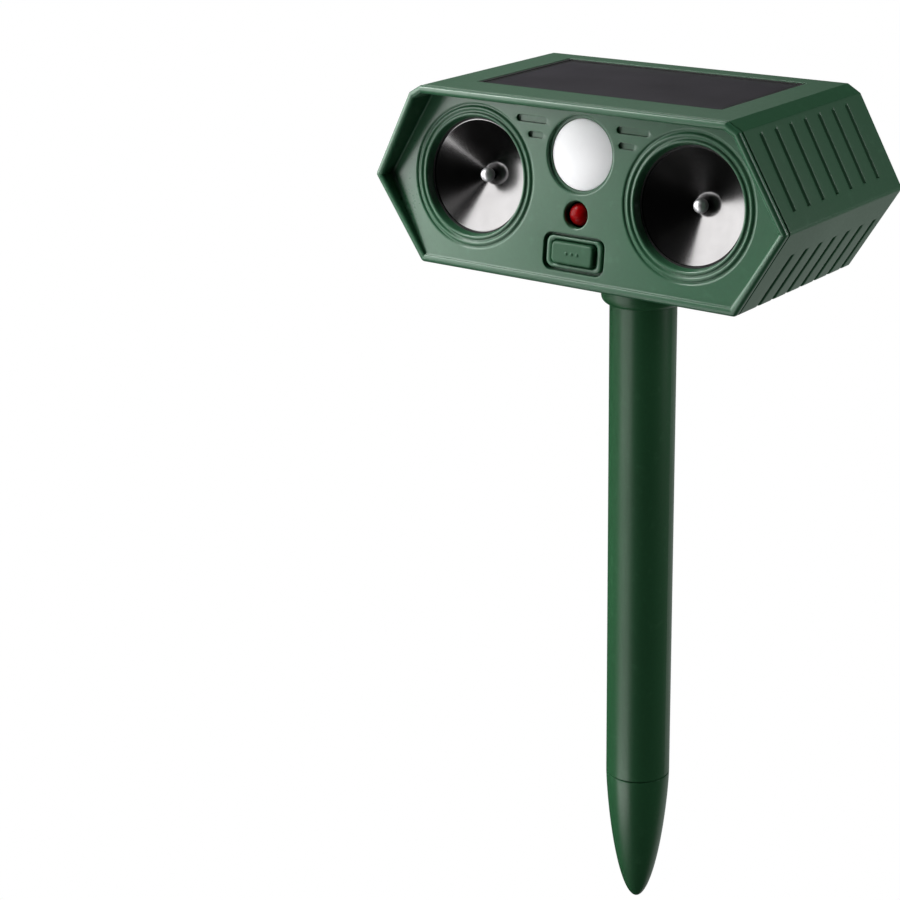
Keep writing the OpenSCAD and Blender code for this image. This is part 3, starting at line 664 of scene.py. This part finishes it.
def rear_shell():
    """The bucket behind the cover: grooved sides, a pocket in its top for the panel, a bearing in its
    floor for the socket, and screw columns and a port in its back."""
    shape = Shape()
    rows, r0, r1 = housing_skin()
    top_a, top_b = run_columns(2)
    low_a, low_b = run_columns(6)
    keep = np.ones((rows.shape[0] - 1, rows.shape[1]), bool)
    keep[r0:r1, top_a:top_b] = False
    keep[r0:r1, low_a:low_b] = False
    keep[0:1, top_a:top_b] = False
    keep[0:1, low_a:low_b] = False
    shape.grid(rows, keep=keep)

    top, floor = RIDGE_Z + HEAD_UP, RIDGE_Z - HEAD_DOWN
    panel_low, panel_high = node_box("solar_gasket")
    size = panel_high - panel_low + 0.2
    centre = (panel_high + panel_low) / 2
    depth = top - panel_low[2]

    def pocket(grow):
        return box_loop(size[0], size[1], 0.4, grow) + centre[:2]

    def level(z0, sign):
        return lambda loop, d: np.column_stack([loop, np.full(len(loop), z0 + sign * d)])

    walls = flat_rings(pocket, [(0.25, 0), (0.07, 0.07), (0, 0.25), (0, depth)], level(top, -1))
    shape.sheet(block_loop(rows, r0, r1, top_a, top_b), [walls[0]], [0, 1])
    shape.grid(walls)
    shape.sheet(walls[-1], [], [0, 1])
    pad_t = 2.4
    pad = flat_rings(pocket, [(2, WALL), (2, WALL + pad_t)], level(top, -1))
    shape.sheet(block_loop(rows, 0, 1, top_a, top_b), [pad[0]], [0, 1])
    shape.grid(pad)
    shape.sheet(pad[-1], [], [0, 1])

    bearing_r, bearing_h = 12.35, 7
    bearing = [(0.3, 0), (0.09, 0.09), (0, 0.3), (0, bearing_h), (3, bearing_h), (3, WALL)]
    bore = flat_rings(lambda grow: circle(bearing_r + grow), bearing, level(floor, 1))
    shape.sheet(block_loop(rows, r0, r1, low_a, low_b), [bore[0]], [0, 1])
    shape.sheet(block_loop(rows, 0, 1, low_a, low_b), [bore[-1]], [0, 1])
    shape.grid(bore)

    def on_back(loop, d):
        return np.column_stack([loop[:, 0], np.full(len(loop), BACK - d), loop[:, 1] + RIDGE_Z])

    outer_holes, inner_holes = [], []
    deep = BACK - SCREW_SEAT_Y
    end = deep + 2.5
    column = [(3.8, 0), (3.52, 0.1), (3.4, 0.4), (3.4, deep), (1.7, deep), (1.7, end), (4.6, end),
              (4.6, WALL)]
    for x, v in ((55, 21.5), (-55, 21.5), (-56, -16.5), (56, -16.5)):
        rings = flat_rings(lambda r, x=x, v=v: circle(r, 48) + [x, v], column, on_back)
        shape.grid(rings)
        outer_holes.append(rings[0])
        inner_holes.append(rings[-1])
    port_x, port_v = 30, -13
    cap_seat, socket_hole, block = (14.4, 9.4, 2.0), (9.4, 4.4, 1.0), (20, 14, 1.0)
    port = [(cap_seat, 0.3, 0), (cap_seat, 0.08, 0.08), (cap_seat, 0, 0.3), (cap_seat, 0, 2),
            (socket_hole, 0, 2), (socket_hole, 0, 4.6), (block, 0, 4.6), (block, 0, WALL)]
    rings = np.stack([on_back(box_loop(*size, g) + [port_x, port_v], d) for size, g, d in port])
    shape.grid(rings)
    shape.sheet(rows[-1], [*outer_holes, rings[0]], [0, 2])
    shape.sheet(rows[0], [*inner_holes, rings[-1]], [0, 2])
    return shape.piece("housing_shell", shell_plastic, "head", ["rear_housing"])


# ---------- front cover ----------


def cover_rim():
    """The hood round the face, from the face's border over the rounded rim and back down the outside,
    then the sleeve that slides into the housing, ending at the back of the face."""
    line = outline(RIM_IN)
    space = (FACE_Y - BEZEL_Y) + (FACE_TILT - BEZEL_TILT) * line[:, 1]
    hollow, round_out, lip_edge = 0.6, 1.1, 0.25
    fillet = np.minimum(hollow, 0.3 * space)
    round_in = np.minimum(1.1, 0.4 * space)

    def ring(inset, y, tilt, shift=0.0):
        made = outline_ring(inset, y, tilt)
        made[:, 1] += shift
        return made

    turn = np.linspace(0, math.pi / 2, 5)
    rows = []
    for a in turn:  # concave fillet between the face and the hood
        inset = RIM_IN + hollow * (1 - math.sin(a))
        rows.append(ring(inset, FACE_Y, FACE_TILT, -fillet * (1 - math.cos(a))))
    for a in turn:  # inner half of the rounded rim
        inset = RIM_IN - 1.2 * (1 - math.cos(a))
        rows.append(ring(inset, BEZEL_Y, BEZEL_TILT, round_in * (1 - math.sin(a))))
    for a in turn:  # outer half of the rounded rim
        inset = round_out * (1 - math.sin(a))
        rows.append(ring(inset, BEZEL_Y, BEZEL_TILT, round_out * (1 - math.cos(a))))
    for a in turn:  # back edge of the lip
        inset = lip_edge * (1 - math.cos(a))
        rows.append(ring(inset, BEZEL_Y + LIP, BEZEL_TILT, -lip_edge * (1 - math.sin(a))))
    sleeve = FRONT_WALL + 0.1
    rows.append(ring(sleeve, BEZEL_Y + LIP, BEZEL_TILT))
    rows.append(ring(sleeve, SEAT_Y, 0))
    rows.append(ring(RIM_IN, SEAT_Y, 0))
    behind = outline_ring(RIM_IN, FACE_BACK_Y, FACE_TILT)
    behind[:, 1] = np.minimum(behind[:, 1], SEAT_Y - 0.05)
    rows.append(behind)
    return np.stack(rows)


def horn_surround():
    """Radius and depth of the rings round a horn's mouth, from the flat face to the back of the face."""
    return [
        (23.3, 0), (22.9, 0.02), (22.65, 0.2), (22.45, 0.45), (22.2, 0.5), (21.95, 0.42), (21.75, 0.15),
        (21.5, -0.02), (21.2, -0.08), (20.9, -0.02), (20.7, 0.16), (20.5, 0.42), (20.25, 0.5), (20.0, 0.42),
        (19.85, 0.15), (19.65, -0.05), (19.35, -0.12), (19.05, -0.04), (18.8, 0.25), (18.65, 0.7),
        (18.45, 1.5), (18.2, FACE_T), (23.3, FACE_T),
    ]


def front_cover():
    """The face in its hood, with the rings and mouths of the horns, the lens, lamp and button windows,
    four moulded slots, and the four posts on its back."""
    shape = Shape()
    rim = cover_rim()
    shape.grid(rim)
    front, behind = [], []

    def through(rings):
        shape.grid(rings)
        front.append(rings[0])
        behind.append(rings[-1])

    for x in (-HORN_X, HORN_X):
        through(turned_on_face(horn_surround(), x, HORN_V, 144))
    window = [(12.6, 0), (12.35, 0), (12.1, 0.06), (11.95, 0.25), (11.9, 0.6), (11.9, 1.2), (11.0, 1.2),
              (11.0, FACE_T), (12.6, FACE_T)]
    through(turned_on_face(window, 0, LENS_V))
    window = [(4.75, 0), (4.5, 0.05), (4.3, 0.2), (4.18, 0.5), (4.12, 1.2), (4.1, FACE_T), (5.2, FACE_T)]
    through(turned_on_face(window, 0, LED_V, 64))
    stations = [(0.35, 0), (0.1, 0.1), (0, 0.35), (0, FACE_T), (0.4, FACE_T)]
    through(face_rings(lambda g: box_loop(22.4, 11.7, 3.0, g), stations, 0, KEY_V))

    slot_depths = [(0.18, 0), (0.05, 0.05), (0, 0.2), (-0.05, 0.95), (-0.2, 1.05)]
    for side in (-1, 1):
        for x0, x1, v, high in ((12.6, 24.1, 22.5, 2.1), (13.6, 19.4, 17.9, 1.9)):
            middle = side * (x0 + x1) / 2
            rings = face_rings(
                lambda g, w=x1 - x0, h=high: box_loop(w, h, h / 2 - 0.02, g), slot_depths, middle, v
            )
            shape.grid(rings)
            shape.sheet(rings[-1], [], [0, 2])
            front.append(rings[0])

    post_end, pilot_end = 13, 6  # the board's screws go into a pilot hole in each post
    post = [(2.6, FACE_T), (2.6, post_end), (0.95, post_end), (0.95, pilot_end)]
    for x in (-18, 18):
        for v in (-16, 21.5):
            rings = turned_on_face(post, x, v, 32)
            shape.grid(rings)
            shape.cap(rings[-1])
            behind.append(rings[0])
    shape.sheet(rim[0], front, [0, 2])
    shape.sheet(rim[-1], behind, [0, 2])
    return shape.piece("cover_shell", cover_plastic, "head", ["front_cover"])


def button_frame():
    """The raised frame in the button's window: at each part s of its width, from its outer edge to its
    opening, a ring lies at the depth that rounds its two shoulders."""
    shoulders = [(0, 1.2), (0.015, 0.9), (0.05, 0.62), (0.12, 0.42), (0.25, 0.31), (0.45, 0.3),
                 (0.62, 0.36), (0.78, 0.52), (0.9, 0.8), (0.97, 1.15), (1, 1.6), (1, 3.4)]
    flange, outer = (24, 12.6, 3.0), np.array([20.6, 9.9, 2.3])
    opening = np.array([KEY_W + 0.4, KEY_H + 0.4, 1.3])
    loops = [(box_loop(*flange), 3.4), (box_loop(*flange), 2.55), (box_loop(*outer), 2.55)]
    loops += [(box_loop(*(outer + (opening - outer) * s)), d) for s, d in shoulders]
    rings = np.stack([on_face(loop[:, 0], loop[:, 1] + KEY_V, d) for loop, d in [*loops, loops[0]]])
    shape = Shape()
    shape.grid(rings)
    return shape.piece("button_surround", cover_plastic, "head", ["button_frame"])


def mode_button():
    """The button: a rounded block whose top edge turns on a quarter arc, with three small domes on top."""
    arc = np.linspace(0, math.pi / 2, 6)
    edge = [(0.85 * (math.cos(a) - 1), -1 + 0.85 * (1 - math.sin(a))) for a in arc]
    stations = [(0, 3.75), *edge, (-1.1, -1)]
    rings = face_rings(lambda g: box_loop(KEY_W, KEY_H, 1.6, g), stations, 0, KEY_V)
    stations = [(-2.5, 4.7), (-0.2, 4.7), (0, 4.5), (0, 3.75)]
    flange = face_rings(lambda g: box_loop(KEY_W + 2.4, KEY_H + 2, 1.5, g), stations, 0, KEY_V)
    shape = Shape()
    shape.grid(np.concatenate([flange, rings]))
    shape.cap(flange[0])
    dome = [(0.8, -1.0), (0.6, -1.0), (0.5, -1.04), (0.42, -1.14), (0.28, -1.22)]
    dots = [turned_on_face(dome, x, KEY_V, 20) for x in (-2, 0, 2)]
    for rows in dots:
        shape.grid(rows)
        shape.cap(rows[-1])
    shape.sheet(rings[-1], [rows[0] for rows in dots], [0, 2])
    return shape.piece("push_button", button_plastic, "button", ["mode_button"])


def stake_tip():
    """The stake's point: its radius is R sqrt(1 - f^1.45) at the fraction f of its length, below a narrow
    groove at the seam and the spigot that is pressed into the tube."""
    low, high = node_box("stake_tip")
    length, radius = -low[2], high[0]
    near, middle = np.linspace(0.014, 0.1, 6), np.linspace(0.13, 0.9, 26)
    f = np.concatenate([near, middle, 1 - np.geomspace(0.09, 0.0006, 14)])
    ogive = np.column_stack([radius * np.sqrt(1 - f**1.45), -length * f])
    spigot = [(0.02, high[2]), (TUBE_BORE - 0.5, high[2]), (TUBE_BORE, high[2] - 0.5), (TUBE_BORE, 0)]
    neck = [(radius - 0.75, 0), (radius - 0.75, -0.42), (radius - 0.25, -0.45), (radius - 0.06, -0.55)]
    shape = Shape()
    shape.grid(turned_upright([*spigot, *neck, *ogive, (0.02, -length)]))
    return shape.piece("ground_point", stake_plastic, "stake", ["stake_tip"])


rear_shell()
front_cover()
button_frame()
mode_button()
stake_tip()


# ---------- materials of the CAD nodes ----------

FINISHES = [
    (stake_plastic, ["stake_tube", "stake_tip", "stake_socket"]),
    (rubber, [
        "swivel_washer", "housing_seal", "solar_gasket", "left_horn_gasket", "right_horn_gasket",
        "port_plug",
    ]),
    (zinc, [
        "socket_clip", "cover_screws", "horn_screws", "motion_sensor", "board_screws", "battery_clips",
        "charge_port",
    ]),
    (cells, ["solar_panel"]),
    (red_wire, ["solar_leads", "left_horn_leads", "right_horn_leads"]),
    (left_reflector, ["left_horn"]),
    (right_reflector, ["right_horn"]),
    (satin_chrome, ["left_horn_plug", "right_horn_plug"]),
    (grey_plastic, [
        "left_horn_clamp", "right_horn_clamp", "lens_retainer", "switch_plunger", "driver_coils",
        "battery_cradle",
    ]),
    (black_plastic, ["left_transducer", "right_transducer", "switch_body", "control_chip"]),
    (lens_plastic, ["sensor_lens"]),
    (lamp_epoxy, ["status_led"]),
    (cover_plastic, ["button_frame"]),
    (button_plastic, ["mode_button"]),
    (board_mask, ["main_board", "charge_board"]),
    (cell_sleeve, ["battery_cell"]),
    (black_wire, ["battery_leads"]),
]
for finish, names in FINISHES:
    for name in names:
        nodes[name].data.materials.clear()
        nodes[name].data.materials.append(finish)


# ---------- stage, light and camera ----------


def aim(obj, place, target):
    """Puts an object at a place, looking at a target along its -Z axis."""
    obj.location = place
    obj.rotation_euler = (target - place).to_track_quat("-Z", "Y").to_euler()


def soft_light(name, azimuth, elevation, distance, size, power, aim_z=0.19):
    """An area light aimed at a height on the stake's axis. Azimuth 0 is in front of the face and 90 is to
    its right. The size is its width and height in metres and the power is in watts."""
    data = bpy.data.lights.new(name, "AREA")
    data.shape = "RECTANGLE"
    data.size, data.size_y = size
    data.energy = power
    obj = bpy.data.objects.new(name, data)
    bpy.context.collection.objects.link(obj)
    a, e = math.radians(azimuth), math.radians(elevation)
    offset = Vector((math.sin(a) * math.cos(e), -math.cos(a) * math.cos(e), math.sin(e))) * distance
    target = Vector((0, 0, aim_z))
    aim(obj, target + offset, target)


def floor_material():
    """A pale sheet that shows white, and lets the lights below it through."""
    material, tree, _ = new_material("pale_floor")
    seen = node(tree, "ShaderNodeLightPath").outputs["Is Camera Ray"]
    glow = node(tree, "ShaderNodeEmission", {"Color": (1, 1, 1, 1), "Strength": 1.0})
    clear = node(tree, "ShaderNodeBsdfTransparent")
    mix = node(tree, "ShaderNodeMixShader", {0: seen, 1: clear.outputs[0], 2: glow.outputs[0]})
    tree.links.new(mix.outputs[0], tree.nodes["Material Output"].inputs["Surface"])
    return material


def stage():
    """A pale floor under the stake's tip, and a world that shows white and lights little."""
    low = cad_box[0].z
    mesh = bpy.data.meshes.new("floor")
    half = 6.0
    corners = [(-half, -half, low), (half, -half, low), (half, half, low), (-half, half, low)]
    mesh.from_pydata(corners, [], [(0, 1, 2, 3)])
    floor = bpy.data.objects.new("floor", mesh)
    bpy.context.collection.objects.link(floor)
    mesh.materials.append(floor_material())
    world = bpy.data.worlds.new("studio")
    bpy.context.scene.world = world
    world.use_nodes = True
    tree = world.node_tree
    dim = tree.nodes["Background"]
    dim.inputs["Color"].default_value = (0.5, 0.52, 0.52, 1)
    dim.inputs["Strength"].default_value = 0.015
    white = node(tree, "ShaderNodeBackground", {"Color": (1, 1, 1, 1), "Strength": 1.0})
    seen = node(tree, "ShaderNodeLightPath").outputs["Is Camera Ray"]
    mix = node(tree, "ShaderNodeMixShader", {0: seen, 1: dim.outputs[0], 2: white.outputs[0]})
    tree.links.new(mix.outputs[0], tree.nodes["World Output"].inputs["Surface"])


def camera():
    """The camera, right of the face and a little above it."""
    data = bpy.data.cameras.new("camera")
    data.sensor_width = 36
    data.lens = 85.96
    data.shift_x, data.shift_y = -0.0076, -0.0026
    data.clip_start, data.clip_end = 0.05, 20
    obj = bpy.data.objects.new("camera", data)
    bpy.context.collection.objects.link(obj)
    azimuth, elevation, roll = math.radians(37.7), math.radians(19.65), math.radians(-1.05)
    out = math.cos(elevation)
    back = Vector((math.sin(azimuth) * out, -math.cos(azimuth) * out, math.sin(elevation)))
    right = Vector((math.cos(azimuth), math.sin(azimuth), 0))
    up = back.cross(right)
    right, up = right * math.cos(roll) + up * math.sin(roll), up * math.cos(roll) - right * math.sin(roll)
    turn = Matrix((right, up, back)).transposed().to_4x4()
    obj.matrix_world = Matrix.Translation((0.3614, -0.5677, 0.3592)) @ turn
    bpy.context.scene.camera = obj


stage()
camera()
soft_light("key", -58, 12, 0.43, (0.40, 0.42), 3.0, 0.225)
soft_light("stake_low", -26, -17, 2.0, (1.50, 0.32), 8.0, 0.06)
soft_light("tip_low", -24, -32, 0.6, (0.42, 0.14), 1.0, -0.02)
soft_light("front_strip", -14, 10, 0.75, (0.2, 0.4), 0.12, 0.25)
soft_light("side", 115, 4, 0.8, (0.3, 0.6), 4.0, 0.3)
soft_light("top_back", 220, 45, 0.9, (0.4, 0.4), 1.4)
soft_light("high_left", -60, 48, 0.9, (0.30, 0.17), 4.6)
soft_light("back_low", 178, -42, 0.8, (0.8, 0.8), 0.95)

bpy.context.scene.view_settings.view_transform = "Standard"
